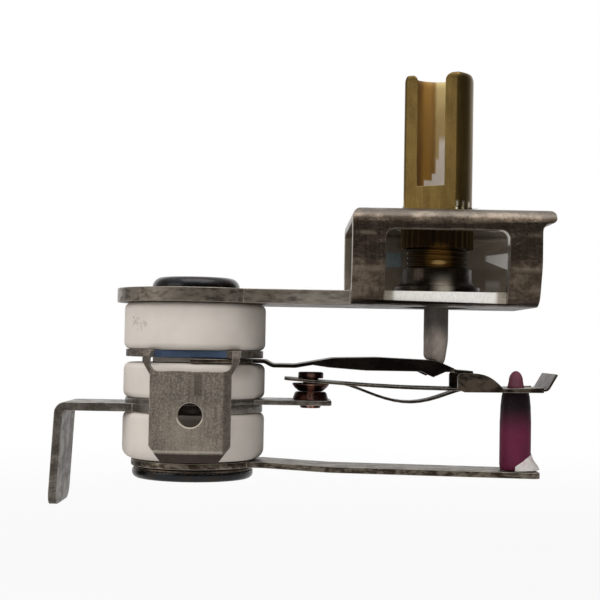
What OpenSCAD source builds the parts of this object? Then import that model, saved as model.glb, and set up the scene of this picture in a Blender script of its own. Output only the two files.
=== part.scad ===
// Heater thermostat: a clamped stack of ceramic rings and blades, a snap switch and an adjusting spindle.
// The origin is on the spindle's axis, at the bracket's top face. +Z points out along the spindle.

/* [Bracket and arm] */
// Thickness of the folded frame sheet
frame_t = 1.15; // [0.8:0.05:1.4]
// Left end of the bracket, from the spindle's axis
bracket_left = 7.45; // [6.6:0.05:9]
// Right end of the bracket's two walls, from the spindle's axis
bracket_right = 7.45; // [6.6:0.05:9]
// How far the top plate runs on past the walls
plate_overhang = 1.15; // [0.5:0.05:2]
// Depth over the bracket's two walls
bracket_depth = 15; // [13.5:0.1:17]
// How far the foot of each wall leans inwards
wall_lean = 1.15; // [0.4:0.05:1.5]
// Height from the underside of the base to the top face
bracket_h = 7.7; // [7.3:0.05:8.6]
// Half the width of the window in the front wall
window_half = 4.85; // [4.2:0.05:5.4]
// Half the width of the window in the rear wall
rear_window_half = 2.3; // [2.2:0.05:3.6]
// Drop from the top face to the window's top edge
window_drop = 1.75; // [1.5:0.05:2.2]
// Width of the arm between stack and bracket
arm_w = 10; // [8:0.1:12]
// Distance from the bracket's left end to its nearer fixing hole
fixing_inset = 1.85; // [1.6:0.05:2.2]
// Radius of each tapped fixing hole
fixing_r = 1.25; // [1:0.05:1.4]

/* [Stack] */
// Distance from the spindle's axis to the stack's axis
stack_offset = 20.1; // [19:0.1:23]
// Radius of the frame's ring at the stack
frame_ring_r = 6.5; // [6:0.1:7.5]
// Radius of the ceramic rings
insulator_r = 5.86; // [5.8:0.02:6]
// Height of the upper and lower ceramic rings
outer_insulator_h = 3.85; // [3.5:0.05:4.2]
// Height of the middle ceramic ring
middle_insulator_h = 2.9; // [2.7:0.05:3.3]
// Radius of the metal rings clamped in the stack
ring_r = 5.7; // [5.4:0.05:5.8]
// Radius of the ceramic spigots that centre the metal rings
spigot_r = 3.5; // [3.2:0.05:3.9]
// Outer radius of the eyelet's tube
eyelet_r = 2.5; // [2.3:0.05:2.7]
// Radius of the hole through the eyelet
eyelet_bore_r = 2.1; // [1.8:0.05:2.15]
// Radius of the eyelet's turned-over upper end
eyelet_top_r = 3.65; // [3.4:0.05:4]
// Radius of the eyelet's broad lower head
eyelet_head_r = 5; // [4.6:0.05:5.4]
// Thickness of the washer over the eyelet's head
washer_t = 0.2; // [0.15:0.05:0.4]

/* [Terminals] */
// Sheet thickness of the front tab terminal
front_t = 0.6; // [0.5:0.05:0.8]
// Sheet thickness of the side tab terminal
side_t = 0.7; // [0.6:0.05:0.8]
// Width of both tabs
tab_w = 6.3; // [6.1:0.1:6.5]
// Length of the front tab below its two necks
front_tab_len = 7.05; // [6:0.05:8]
// Set of the front tab to the right of the stack's axis
front_tab_set = 0.3; // [0:0.05:0.5]
// Reach of the front tab ahead of the stack's axis
front_reach = 8.3; // [7.9:0.05:9]
// Width of each neck that carries the front tab
neck_w = 0.6; // [0.5:0.05:0.7]
// Height of the slot above the front tab
neck_drop = 1.6; // [1.4:0.05:1.8]
// Radius of the catch hole in the front tab
catch_r = 0.95; // [0.7:0.05:1.1]
// Reach of the side tab from the stack's axis
side_reach = 10.7; // [10.4:0.05:11.8]
// Length of the side tab, down from its strip
side_tab_len = 8.0; // [7:0.1:9]

/* [Switch blades] */
// Sheet thickness of the spring carrier
carrier_t = 0.3; // [0.2:0.05:0.35]
// Width of the spring carrier's leaf
carrier_w = 6; // [5.6:0.1:6.4]
// Depth of the carrier's two turned-down edges
carrier_flange = 0.95; // [0.7:0.05:1]
// Sheet thickness of the snap blade
blade_t = 0.2; // [0.15:0.01:0.24]
// Width of the snap blade
blade_w = 5.8; // [5.6:0.1:6]
// Width of the bowed tongue in the snap blade
tongue_w = 2.2; // [1.8:0.1:2.4]
// Sheet thickness of the fixed contact's strip
fixed_t = 0.4; // [0.3:0.05:0.5]
// Width of the fixed contact's strip
fixed_w = 5.2; // [4.6:0.1:5.6]
// Distance from the stack's axis to the contacts
contact_reach = 9.7; // [9.4:0.05:9.9]
// Radius of the contact faces
contact_r = 1.35; // [1.2:0.05:1.45]
// Air left between the two closed contact faces
contact_gap = 0.05; // [0.03:0.01:0.08]

/* [Bimetal] */
// Thickness of the bimetal strip
bimetal_t = 0.5; // [0.4:0.05:0.6]
// Width of the bimetal strip
bimetal_w = 4.7; // [4.4:0.1:5.6]
// Distance from the spindle's axis to the bimetal's ceramic pin
pin_offset = 6.75; // [6.6:0.05:6.9]
// How far the bimetal runs on past its pin
bimetal_tail = 1.75; // [1.4:0.05:2.2]
// Radius of the bimetal's ceramic pin at its thickest
bimetal_pin_r = 1.3; // [1.2:0.05:1.4]
// Radius of the pin's neck, in the blade's hole
pin_neck_r = 0.72; // [0.6:0.02:0.8]

/* [Spindle] */
// Radius of the spindle
spindle_r = 2.9; // [2.8:0.05:3]
// Height of the spindle above the top face
spindle_h = 11.65; // [9:0.05:20]
// Distance from the spindle's axis to its flat
flat_dist = 1.6; // [1.5:0.05:1.8]
// Turn of the flat from the front, towards the left
flat_turn = 29; // [0:1:60]
// Radius of the spindle's open bore
bore_r = 2; // [1.9:0.05:2.2]
// Height of the open bore's floor above the top face
bore_floor = 2.4; // [2:0.05:3]
// Outer radius of the knurled collar
knurl_r = 3.05; // [3.02:0.01:3.1]
// Depth of the knurl's grooves
knurl_depth = 0.12; // [0.1:0.01:0.14]
// Radius of the spindle's thread
thread_r = 2.6; // [2.5:0.05:2.65]
// Radius of the calibration screw
screw_r = 1.45; // [1.3:0.05:1.5]
// Radius of the ceramic adjusting pin
pin_r = 1.02; // [0.94:0.02:1.06]

/* [Hidden] */
$fn = 64;

// Clearances
leaf_gap = 0.08;
bimetal_gap = 0.1;
seat_gap = 0.02;
bore_gap = 0.1;
thread_gap = 0.08;
touch_gap = 0.05;
eps = 0.01;
far = 60;

// Levels down the stack, each the top face of its piece
base_z = frame_t - bracket_h;
stack_x = -stack_offset;
upper_z = -bracket_h;
front_z = upper_z - outer_insulator_h;
carrier_z = front_z - front_t - leaf_gap;
middle_z = carrier_z - carrier_t - leaf_gap;
fixed_z = middle_z - middle_insulator_h;
side_z = fixed_z - fixed_t;
lower_z = side_z - side_t;
bimetal_z = lower_z - outer_insulator_h - bimetal_gap;
washer_z = bimetal_z - bimetal_t - bimetal_gap;
head_z = washer_z - washer_t;
head_h = 0.72;
top_lip_h = 1.0;
contact_x = stack_x + contact_reach;

// Colours
c_steel = [0.55, 0.52, 0.48];
c_dark = [0.22, 0.24, 0.27];
c_brass = [0.62, 0.49, 0.22];
c_ceramic = [0.90, 0.87, 0.83];
c_copper = [0.42, 0.25, 0.18];
c_purple = [0.45, 0.15, 0.30];
c_spring = [0.36, 0.33, 0.31];
c_pin = [0.62, 0.58, 0.55];

function unit(v) = v / norm(v);
function normal(a, b) = let (u = unit(b - a)) [-u[1], u[0]];
// Direction and length by which point i of a path moves for an offset of one
function mitre(p, i) =
    let (n = len(p), a = normal(p[max(i - 1, 0)], p[max(i, 1)]), b = normal(p[min(i, n - 2)], p[min(i + 1, n - 1)]))
    (a + b) / (1 + a * b);
// A path moved sideways
function beside(p, d) = [for (i = [0 : len(p) - 1]) p[i] + d * mitre(p, i)];
// The same for a closed outline
function inset(p, d) = let (n = len(p)) [for (i = [0 : n - 1])
    let (a = normal(p[(i + n - 1) % n], p[i]), b = normal(p[i], p[(i + 1) % n])) p[i] + d * (a + b) / (1 + a * b)];
// Points of the arc that rounds corner b between a and c
function corner(a, b, c, r, steps = 5) =
    let (u = unit(a - b), v = unit(c - b), half = acos(u * v) / 2, m = b + unit(u + v) * r / sin(half),
        s = b + u * r / tan(half) - m, e = b + v * r / tan(half) - m, w = 180 - 2 * half)
    [for (k = [0 : steps]) m + (s * sin(w * (1 - k / steps)) + e * sin(w * k / steps)) / sin(w)];
// A path whose inner corners are rounded
function bent(p, r) = let (n = len(p))
    [p[0], for (i = [1 : n - 2]) each corner(p[i - 1], p[i], p[i + 1], r), p[n - 1]];
// A closed outline whose corners are rounded
function rounded(p, r) = let (n = len(p))
    [for (i = [0 : n - 1]) each corner(p[(i + n - 1) % n], p[i], p[(i + 1) % n], r[i])];

// A sheet seen edge on, t thick on its middle line
module edge_view(p, t) {
    left = beside(p, t / 2);
    right = beside(p, -t / 2);
    polygon(concat(left, [for (i = [len(p) - 1 : -1 : 0]) right[i]]));
}

// Stands an XZ outline up and gives it width w across Y, centred on y
module across(w, y = 0) {
    translate([0, y + w / 2, 0]) rotate([90, 0, 0]) linear_extrude(w) children();
}

// Plan of a ring at the stack with a strip that runs right from it to x_end
module ring_and_strip(r, w, x_end) {
    translate([stack_x, 0]) circle(r);
    translate([stack_x, -w / 2]) square([x_end - stack_x, w]);
}

module rounded_bar(x0, x1, w, r) {
    polygon(rounded([[x0, -w / 2], [x1, -w / 2], [x1, w / 2], [x0, w / 2]], [r, r, r, r]));
}

module stack_hole(r) {
    translate([stack_x, 0, -far / 2]) cylinder(r = r, h = far);
}

// Frame

fixing_x = bracket_left - fixing_inset;
wall_y = bracket_depth / 2;
foot_y = wall_y - wall_lean;
kink_z = -0.58 * bracket_h;
pad_y = foot_y - 0.35;
bend_r = frame_t + 0.45;
bush_neck_r = thread_r + thread_gap + 0.45;
spindle_hole_r = knurl_r + 0.25;

module bracket_band() {
    outer = [[wall_y, 0], [-wall_y, 0], [-wall_y, kink_z], [-foot_y, -bracket_h],
        [foot_y, -bracket_h], [wall_y, kink_z]];
    inner = inset(outer, frame_t);
    r_out = [bend_r, bend_r, 3, bend_r, bend_r, 3];
    r_in = [for (r = r_out) r > 2 ? r - frame_t / 2 : r - frame_t];
    difference() {
        polygon(rounded(outer, r_out));
        polygon(rounded(inner, r_in));
    }
}

// Front view of the bracket: the top plate overhangs the right wall with a hollow curve
module bracket_front() {
    left = -bracket_left;
    right = bracket_right;
    tip = bracket_right + plate_overhang;
    tip_r = 0.4 * frame_t;
    foot = -bracket_h - 1;
    polygon(concat([[right, foot], [left, foot]],
        corner([left, foot], [left, 0], [tip, 0], 0.8),
        corner([left, 0], [tip, 0], [tip, -frame_t], tip_r),
        corner([tip, 0], [tip, -frame_t], [right, -frame_t], tip_r),
        corner([tip, -frame_t], [right, -frame_t], [right, foot], max(plate_overhang - tip_r - 0.02, 0.02))));
}

// A window goes through its wall down to the base, and below that it trims the base's front edge
module window_cut(side, half) {
    cut = 4;
    wall_in = foot_y - frame_t - 0.6;
    across(cut, side * (wall_in + cut / 2)) window_outline(half, base_z);
    across(cut, side * (pad_y + cut / 2)) window_outline(half, -far / 4);
}

module window_outline(half, bottom) {
    r = 0.7;
    polygon(concat([[half, bottom], [-half, bottom]],
        corner([-half, bottom], [-half, -window_drop], [half, -window_drop], r),
        corner([-half, -window_drop], [half, -window_drop], [half, bottom], r)));
}

module support_frame() color(c_steel) difference() {
    union() {
        intersection() {
            translate([-far / 2, 0, 0]) rotate([90, 0, 90]) linear_extrude(far) bracket_band();
            across(bracket_depth + 2) bracket_front();
        }
        translate([0, 0, -bracket_h]) linear_extrude(frame_t) ring_and_strip(frame_ring_r, arm_w, 0);
    }
    window_cut(-1, window_half);
    window_cut(1, rear_window_half);
    translate([0, 0, -frame_t - 1]) cylinder(r = spindle_hole_r, h = frame_t + 2);
    translate([0, 0, -bracket_h - 1]) cylinder(r = bush_neck_r + seat_gap, h = frame_t + 2);
    for (side = [-1, 1])
        translate([side * fixing_x, 0, -frame_t - 1]) cylinder(r = fixing_r, h = frame_t + 2);
    stack_hole(eyelet_r + seat_gap);
}

// Spindle and what it drives

knurl_top = 0.6;
knurl_teeth = 28;
knurl_bottom = -2.8;
flat_bottom = -0.3;
shaft_edge = 0.35;
thread_bottom = -6.3;
pin_top = -1.65;
screw_top = bore_floor - 0.2;
bush_r = 3.6;
bush_top_r = thread_r + 0.32;
bush_h = 2.05;
bush_flange = 0.55;

module threaded_bushing() color(c_steel) rotate_extrude() {
    bore = thread_r + thread_gap;
    bulge = bush_r - bush_top_r;
    difference() {
        union() {
            translate([bore, -bracket_h]) square([bush_neck_r - bore, frame_t + eps]);
            translate([bore, base_z]) square([bush_r - bore, bush_flange]);
            translate([bore, base_z]) square([bush_r - bore, bush_h]);
        }
        translate([bush_r, base_z + bush_flange + bulge]) circle(bulge);
        translate([bush_top_r, base_z + bush_flange + bulge]) square([bulge + 1, bush_h]);
    }
}

function knurl_points(r, depth, teeth) =
    [for (i = [0 : 2 * teeth - 1]) let (a = 180 * i / teeth) (r - depth * (i % 2)) * [cos(a), sin(a)]];

// A thread, a knurled collar and a shaft, with a flat that opens into its bore
module adjusting_spindle() color(c_brass) difference() {
    union() {
        translate([0, 0, thread_bottom]) cylinder(r = thread_r, h = knurl_bottom - thread_bottom + eps);
        translate([0, 0, knurl_bottom]) linear_extrude(knurl_top - knurl_bottom)
            polygon(knurl_points(knurl_r, knurl_depth, knurl_teeth));
        translate([0, 0, knurl_top - 0.5]) cylinder(r = spindle_r, h = spindle_h - knurl_top + 0.5 - shaft_edge);
        translate([0, 0, spindle_h - shaft_edge])
            cylinder(r1 = spindle_r, r2 = spindle_r - shaft_edge, h = shaft_edge);
    }
    rotate([0, 0, -flat_turn]) translate([-2 * spindle_r, -4 * spindle_r - flat_dist, flat_bottom])
        cube([4 * spindle_r, 4 * spindle_r, spindle_h + 1]);
    translate([0, 0, bore_floor]) cylinder(r = bore_r, h = spindle_h);
    translate([0, 0, pin_top]) cylinder(r = screw_r + touch_gap, h = spindle_h);
    translate([0, 0, thread_bottom - 1]) cylinder(r = pin_r + bore_gap - eps, h = spindle_h);
}

module calibration_screw() color(c_brass) difference() {
    translate([0, 0, pin_top + touch_gap]) cylinder(r = screw_r, h = screw_top - pin_top - touch_gap);
    translate([-screw_r - 1, -0.25, screw_top - 0.8]) cube([2 * screw_r + 2, 0.5, 1]);
}

module adjusting_pin() color(c_pin) rotate_extrude() {
    foot = slope_from[1] + carrier_t / 2 + 0.02 + touch_gap;
    polygon([[0, foot], [pin_r - 0.2, foot], [pin_r - 0.06, foot + 0.3], [pin_r, foot + 0.9], [pin_r, pin_top],
        [0, pin_top]]);
}

// Stack

module stack_eyelet() color(c_dark) translate([stack_x, 0, 0]) rotate_extrude() {
    top = base_z + top_lip_h;
    bottom = head_z - head_h;
    polygon(concat(
        [[eyelet_bore_r, bottom + 0.3]],
        corner([eyelet_bore_r, base_z], [eyelet_bore_r, top], [eyelet_top_r, top], 0.42),
        corner([eyelet_bore_r, top], [eyelet_top_r, top], [eyelet_top_r, base_z], 0.85),
        [[eyelet_top_r, base_z], [eyelet_r, base_z], [eyelet_r, head_z], [eyelet_head_r, head_z]],
        corner([eyelet_head_r, head_z], [eyelet_head_r, bottom], [eyelet_r, bottom], 0.45),
        corner([eyelet_head_r, bottom], [eyelet_bore_r, bottom], [eyelet_bore_r, head_z], 0.3)));
}

module stack_ring(z, t, r, bore) {
    translate([stack_x, 0, z - t]) difference() {
        cylinder(r = r, h = t);
        translate([0, 0, -1]) cylinder(r = bore, h = t + 2);
    }
}

module stack_washer() color(c_steel) stack_ring(washer_z, washer_t, eyelet_head_r - 0.1, eyelet_r + bore_gap);

// A ceramic ring with softened edges, and a spigot above or below it that centres the metal rings
module insulator(z, h, spigot, up, foot = 0.55) {
    soft = 0.55;
    bore = eyelet_r + bore_gap;
    r = insulator_r;
    color(c_ceramic) translate([stack_x, 0, z - h]) rotate_extrude() {
        polygon(rounded([[bore, 0], [r, 0], [r, h], [bore, h]], [0.1, foot, soft, 0.1]));
        if (spigot > 0)
            translate([bore, up ? h - soft : -spigot]) square([spigot_r - bore, spigot + soft]);
    }
}

module upper_insulator() insulator(upper_z, outer_insulator_h, front_z - middle_z - touch_gap, false);
module middle_insulator() insulator(middle_z, middle_insulator_h, 0, false);
module lower_insulator() insulator(lower_z, outer_insulator_h, fixed_z - lower_z - touch_gap, true, 0.85);

// Terminals

ring_bore = spigot_r + bore_gap;

module front_terminal() color(c_steel) {
    neck_out = tab_w / 2 + neck_w;
    y0 = -front_reach + front_t / 2;
    top = front_z - front_t / 2;
    tab_bottom = front_z - neck_drop - front_tab_len;
    side_path = bent([[0, top], [y0, top], [y0, tab_bottom]], front_t);
    front = [[-neck_out, 1], [-neck_out, -neck_drop + 0.7], [-tab_w / 2, -neck_drop - 0.3],
        [-tab_w / 2, -neck_drop - front_tab_len + 1.25], [-tab_w / 2 + 0.95, -neck_drop - front_tab_len]];
    right = [for (i = [len(front) - 1 : -1 : 0]) [-front[i][0], front[i][1]]];
    difference() {
        union() {
            stack_ring(front_z, front_t, ring_r, ring_bore);
            difference() {
                intersection() {
                    translate([stack_x - far / 2, 0, 0]) rotate([90, 0, 90]) linear_extrude(far)
                        edge_view(side_path, front_t);
                    translate([stack_x + front_tab_set, 0, front_z]) across(far) polygon(concat(front, right));
                }
                stack_hole(ring_r - 0.2);
            }
        }
        translate([stack_x + front_tab_set, 0, front_z]) {
            slot = tab_w / 2;
            reach = sqrt(pow(ring_r, 2) - pow(slot + front_tab_set, 2)) + 0.3;
            across(far, -reach - far / 2) polygon(rounded(
                [[-slot, 1], [-slot, -neck_drop], [slot, -neck_drop], [slot, 1]], [0.2, 0.6, 0.6, 0.2]));
            translate([0, 0, -neck_drop - 3.4]) rotate([90, 0, 0]) cylinder(r = catch_r, h = far);
        }
        tab_bevel(-front_reach, -0.2, tab_bottom);
        tab_bevel(-front_reach + front_t, 0.15, tab_bottom);
    }
}

// The coined lead-in across a tab's end: it takes away depth from the face at y, over the last stretch
module tab_bevel(y, depth, end) {
    high = 0.65;
    out = sign(depth);
    translate([stack_x - far / 2, 0, 0]) rotate([90, 0, 90]) linear_extrude(far)
        polygon([[y, end + high], [y + out, end + high], [y + out, end - 1], [y - depth * (1 + 1 / high), end - 1]]);
}

module side_terminal() color(c_steel) {
    x0 = stack_x - side_reach;
    mid = side_z - side_t / 2;
    lean = 0.4;
    half = tab_w / 2;
    end = mid - side_tab_len;
    path = bent([[stack_x, mid], [x0, mid], [x0 - lean, end]], side_t * 0.8);
    stack_ring(side_z, side_t, ring_r, ring_bore);
    difference() {
        intersection() {
            across(tab_w) edge_view(path, side_t);
            rotate([90, 0, 90]) translate([0, 0, -far]) linear_extrude(far) polygon(rounded(
                [[-half, far], [-half, end], [half, end], [half, far]], [0.5, 1.1, 1.1, 0.5]));
        }
        stack_hole(ring_r - 0.2);
    }
}

module fixed_contact_strip() color(c_steel) {
    end = contact_x + 1.7;
    difference() {
        translate([0, 0, fixed_z - fixed_t]) linear_extrude(fixed_t) {
            translate([stack_x, 0]) circle(ring_r);
            rounded_bar(stack_x, end, fixed_w, 0.5);
        }
        stack_hole(ring_bore);
        translate([contact_x, 0, fixed_z - 1]) cylinder(r = rivet_r + seat_gap, h = 2);
    }
}

// Contacts

rivet_r = 0.65;
fixed_head_h = 0.65;
closed_z = fixed_z + fixed_head_h + contact_gap;

module fixed_contact() color(c_copper) translate([contact_x, 0, fixed_z]) {
    foot = -fixed_t - 0.3;
    rotate_extrude() polygon([[0, fixed_head_h], [contact_r - 0.12, fixed_head_h], [contact_r, fixed_head_h - 0.15],
        [contact_r + 0.15, 0], [rivet_r, 0], [rivet_r, -fixed_t], [0.95, -fixed_t], [0.8, foot], [0, foot]]);
}

// Snap blade: a frame with a bowed tongue, two cheeks and an upturned tail

blade_left = contact_x - 2.2;
blade_lift = 1.05;
blade_fall = 0.58;
blade_sag = 0.28;
tail_x = 8.85;
blade_left_z = closed_z + blade_lift;
blade_right_z = blade_left_z - blade_fall;
// Height of the blade's middle at x: it falls towards the pin and sags a little on the way
function blade_at(x) = let (f = min(max((x - blade_left) / (pin_offset - blade_left), 0), 1))
    blade_left_z - blade_fall * f - blade_sag * sin(180 * f);
tongue_root = -7.9;
tongue_tip = 2.3;
tongue_drop = 1.22;
slit = 0.35;
hook_x = tongue_tip + 0.2 + carrier_t / 2;
cheek_x = 1.5;
cheek_end = 5.25;
cheek_h = 1.45;
rim_h = 0.22;

module snap_blade() color(c_spring) {
    steps = 16;
    path = concat(
        [for (i = [0 : steps]) let (x = blade_left + i / steps * (pin_offset - blade_left)) [x, blade_at(x)]],
        corner([pin_offset, blade_right_z], [tail_x, blade_right_z], [tail_x + 0.75, blade_right_z + 1.3], 0.4),
        [[tail_x + 0.75, blade_right_z + 1.3]]);
    window = tongue_w / 2 + slit;
    difference() {
        intersection() {
            across(blade_w) edge_view(path, blade_t);
            linear_extrude(far, center = true) rounded_bar(blade_left, far / 2, blade_w, 0.8);
        }
        linear_extrude(far, center = true)
            translate([tongue_root, -window]) square([hook_x + 0.6 - tongue_root, 2 * window]);
        translate([pin_offset, 0, -far / 2]) cylinder(r = pin_neck_r + 0.2, h = far);
        translate([contact_x, 0, -far / 2]) cylinder(r = rivet_r + seat_gap, h = far);
    }
    tongue();
    for (side = [-1, 1]) cheek(side);
}

module tongue() {
    root = [tongue_root - 0.5, blade_at(tongue_root - 0.5)];
    steps = 14;
    bow = [for (i = [0 : steps])
        let (f = i / steps, x = tongue_root + f * (tongue_tip - tongue_root))
        [x, blade_at(x) - tongue_drop * pow(sin(180 * pow(f, 1.1)), 1.25)]];
    across(tongue_w) edge_view(concat([root], bow), blade_t);
}

module cheek(side) {
    t = 0.3;
    low = blade_at(cheek_x);
    steps = 8;
    rim_end = tail_x - 0.3;
    crest = [for (i = [0 : steps])
        let (f = i / steps) [cheek_x + 0.6 + f * (cheek_end - cheek_x - 0.6),
            low - 0.1 + rim_h + (cheek_h - rim_h) * cos(90 * pow(f, 1.8))]];
    across(t, side * (blade_w - t) / 2)
        polygon(concat([[rim_end, blade_at(rim_end) - rim_h], [cheek_x + 0.6, low - rim_h], [cheek_x, low],
            [cheek_x, low + cheek_h - 0.3], [cheek_x + 0.15, low + cheek_h - 0.1]], crest,
            [[rim_end, blade_at(rim_end) + rim_h]]));
}

module moving_contact() color(c_copper) translate([contact_x, 0, 0]) {
    blade = blade_at(contact_x);
    top = blade + blade_t / 2 + 0.09;
    bottom = blade - blade_t / 2 - 0.12;
    rotate_extrude() polygon([[0, closed_z], [contact_r - 0.35, closed_z], [contact_r, closed_z + 0.3],
        [contact_r + 0.2, bottom - 0.1], [contact_r + 0.15, bottom], [rivet_r, bottom], [rivet_r, top], [1.05, top],
        [1.05, top + 0.2], [0.92, top + 0.28], [0, top + 0.28]]);
}

// Spring carrier: the leaf that the adjusting pin bends, with turned-down edges and a hook for the tongue

carrier_mid = carrier_z - carrier_t / 2;
carrier_end = 2.85;
carrier_wide_end = 1.2;
edge_start = -10.8;
slope_from = [-0.3, carrier_mid + 0.18];
slope_to = [1.5, carrier_mid - 0.58];
// Points of the leaf's middle line, each with the radius of the bend there
carrier_points = [
    [-stack_offset, carrier_mid, 0], [-14.2, carrier_mid, 0.6], [-13.6, carrier_mid - 0.33, 0.8],
    [-11.7, carrier_mid - 0.33, 2], [edge_start, carrier_mid - 0.16, 0], [-8.6, carrier_mid + 0.25, 2],
    [-4.9, carrier_mid + 0.35, 4], [slope_from[0], slope_from[1], 2], [slope_to[0], slope_to[1], 0.8],
    [carrier_end, carrier_mid - 0.65, 0]];
function flat_point(p) = [p[0], p[1]];
carrier_path = [for (i = [0 : len(carrier_points) - 1]) let (p = carrier_points[i])
    each p[2] == 0 ? [flat_point(p)]
        : corner(flat_point(carrier_points[i - 1]), flat_point(p), flat_point(carrier_points[i + 1]), p[2])];

module spring_carrier() color(c_spring) {
    neck = blade_w / 2 - 0.7;
    flange_t = 0.3;
    difference() {
        intersection() {
            across(far) edge_view(carrier_path, carrier_t);
            linear_extrude(far, center = true) {
                translate([stack_x, 0]) circle(ring_r);
                translate([stack_x, -carrier_w / 2]) square([carrier_wide_end - stack_x, carrier_w]);
                translate([stack_x, -neck]) square([far, 2 * neck]);
            }
        }
        stack_hole(ring_bore);
    }
    for (side = [-1, 1])
        across(flange_t, side * (carrier_w - flange_t) / 2) carrier_edge();
    hook_top = carrier_mid - 0.6;
    hook_foot = blade_at(hook_x) - 0.15;
    translate([hook_x - carrier_t / 2, -tongue_w / 2, hook_foot]) cube([carrier_t, tongue_w, hook_top - hook_foot]);
}

// One turned-down edge: deepest under the crest, with a small point below the adjusting pin
module carrier_edge() {
    end = slope_from + (carrier_wide_end - slope_from[0]) / (slope_to[0] - slope_from[0]) * (slope_to - slope_from);
    crest = [for (p = carrier_path) if (p[0] >= edge_start && p[0] < carrier_wide_end) p];
    low = carrier_mid + 0.35 - carrier_flange;
    polygon(concat(crest, [end, end - [0, 0.15], [0.5, low], [-0.5, low - 0.45], [-1.5, low], [-6, low],
        [-9, low + 0.2]]));
}

// Bimetal and its ceramic pin

bimetal_end = pin_offset + bimetal_tail;
bimetal_mid = bimetal_z - bimetal_t / 2;
bimetal_run = 5.5;
bimetal_drop = 0.3;
bimetal_droop = 0.55;
bimetal_bow_r = 12;
bimetal_bend = [stack_x + insulator_r + bimetal_run, bimetal_mid - bimetal_drop];
bimetal_tip = [bimetal_end, bimetal_mid - bimetal_droop];
bimetal_pin_z = bimetal_bend[1] + bimetal_t / 2
    + (pin_offset - bimetal_bend[0]) * (bimetal_tip[1] - bimetal_bend[1]) / (bimetal_tip[0] - bimetal_bend[0]);
shoulder_z = blade_at(pin_offset) - blade_t / 2 - touch_gap;
stub_r = 0.8;

module bimetal_strip() color(c_steel) {
    path = bent([[stack_x, bimetal_mid], [stack_x + insulator_r, bimetal_mid], bimetal_bend, bimetal_tip],
        bimetal_bow_r);
    difference() {
        union() {
            stack_ring(bimetal_z, bimetal_t, eyelet_head_r + 0.1, eyelet_r + bore_gap);
            intersection() {
                across(bimetal_w) edge_view(path, bimetal_t);
                linear_extrude(far, center = true) rounded_bar(stack_x, bimetal_end, bimetal_w, 0.7);
            }
        }
        stack_hole(eyelet_r + bore_gap);
        translate([pin_offset, 0, -far / 2]) cylinder(r = stub_r + seat_gap, h = far);
    }
}

module bimetal_pin() color(c_purple) translate([pin_offset, 0, 0]) {
    tip_z = blade_at(pin_offset) + 1.5;
    r = bimetal_pin_r;
    foot = bimetal_pin_z + 0.06;
    rotate_extrude() polygon(concat(
        [[0, foot - bimetal_t], [stub_r, foot - bimetal_t], [stub_r, foot], [r - 0.05, foot], [r, foot + 0.4],
        [r, shoulder_z - 2.6], [r - 0.05, shoulder_z - 1.3], [r - 0.13, shoulder_z - 0.5], [r - 0.25, shoulder_z],
        [pin_neck_r, shoulder_z], [pin_neck_r - 0.02, shoulder_z + 0.3]],
        [for (i = [0 : 6]) let (a = 15 * i) [(pin_neck_r - 0.12) * cos(a), tip_z - 0.9 + 0.9 * sin(a)]]));
}

// A dab of white cement at the pin's foot, on the side away from the stack
module pin_cement() color(c_ceramic) translate([pin_offset, 0, bimetal_pin_z + 0.07]) rotate([0, 0, -100])
    rotate_extrude(angle = 150) polygon([[bimetal_pin_r + 0.03, 0], [bimetal_pin_r + 0.75, 0],
        [bimetal_pin_r + 0.7, 0.15], [bimetal_pin_r + 0.25, 0.8], [bimetal_pin_r + 0.03, 1.35]]);

support_frame();
threaded_bushing();
adjusting_spindle();
calibration_screw();
adjusting_pin();
stack_eyelet();
stack_washer();
upper_insulator();
middle_insulator();
lower_insulator();
front_terminal();
side_terminal();
fixed_contact_strip();
fixed_contact();
spring_carrier();
snap_blade();
moving_contact();
bimetal_strip();
bimetal_pin();
pin_cement();
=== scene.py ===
"""Dresses the solids of a heater thermostat: bracket, ceramic stack, snap switch and brass spindle."""

import math

import bmesh
import bpy
from bpy.props import FloatProperty, FloatVectorProperty, IntProperty, PointerProperty
from mathutils import Matrix, Vector, noise


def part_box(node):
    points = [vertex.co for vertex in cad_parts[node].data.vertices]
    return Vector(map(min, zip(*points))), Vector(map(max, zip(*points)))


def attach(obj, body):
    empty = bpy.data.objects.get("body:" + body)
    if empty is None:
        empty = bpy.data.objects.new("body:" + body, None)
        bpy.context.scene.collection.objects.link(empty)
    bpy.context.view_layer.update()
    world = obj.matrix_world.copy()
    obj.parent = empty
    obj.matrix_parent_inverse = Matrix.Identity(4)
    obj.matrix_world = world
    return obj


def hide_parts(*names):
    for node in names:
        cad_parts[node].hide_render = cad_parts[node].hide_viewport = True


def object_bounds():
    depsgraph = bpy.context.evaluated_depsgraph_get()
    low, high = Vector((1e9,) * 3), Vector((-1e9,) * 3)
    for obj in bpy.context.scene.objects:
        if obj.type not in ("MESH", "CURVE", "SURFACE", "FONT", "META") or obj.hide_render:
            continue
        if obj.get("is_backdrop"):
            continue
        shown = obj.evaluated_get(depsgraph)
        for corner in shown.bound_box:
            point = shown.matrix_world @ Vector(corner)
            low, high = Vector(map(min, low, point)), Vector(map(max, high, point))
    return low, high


bl_info = {
    "name": "Heater thermostat",
    "version": (1, 0, 0),
    "blender": (4, 5, 0),
    "location": "3D View > Sidebar > Thermostat",
    "description": "Builds the finished pieces of a heater thermostat over its solids",
    "category": "Object",
}

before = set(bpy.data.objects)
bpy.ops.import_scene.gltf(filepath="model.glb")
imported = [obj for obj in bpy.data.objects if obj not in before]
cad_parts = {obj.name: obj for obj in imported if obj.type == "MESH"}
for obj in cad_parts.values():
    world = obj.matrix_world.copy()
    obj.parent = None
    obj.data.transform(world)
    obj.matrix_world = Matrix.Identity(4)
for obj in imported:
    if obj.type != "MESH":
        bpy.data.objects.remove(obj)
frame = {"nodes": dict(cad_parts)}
MM = 0.001


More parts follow.
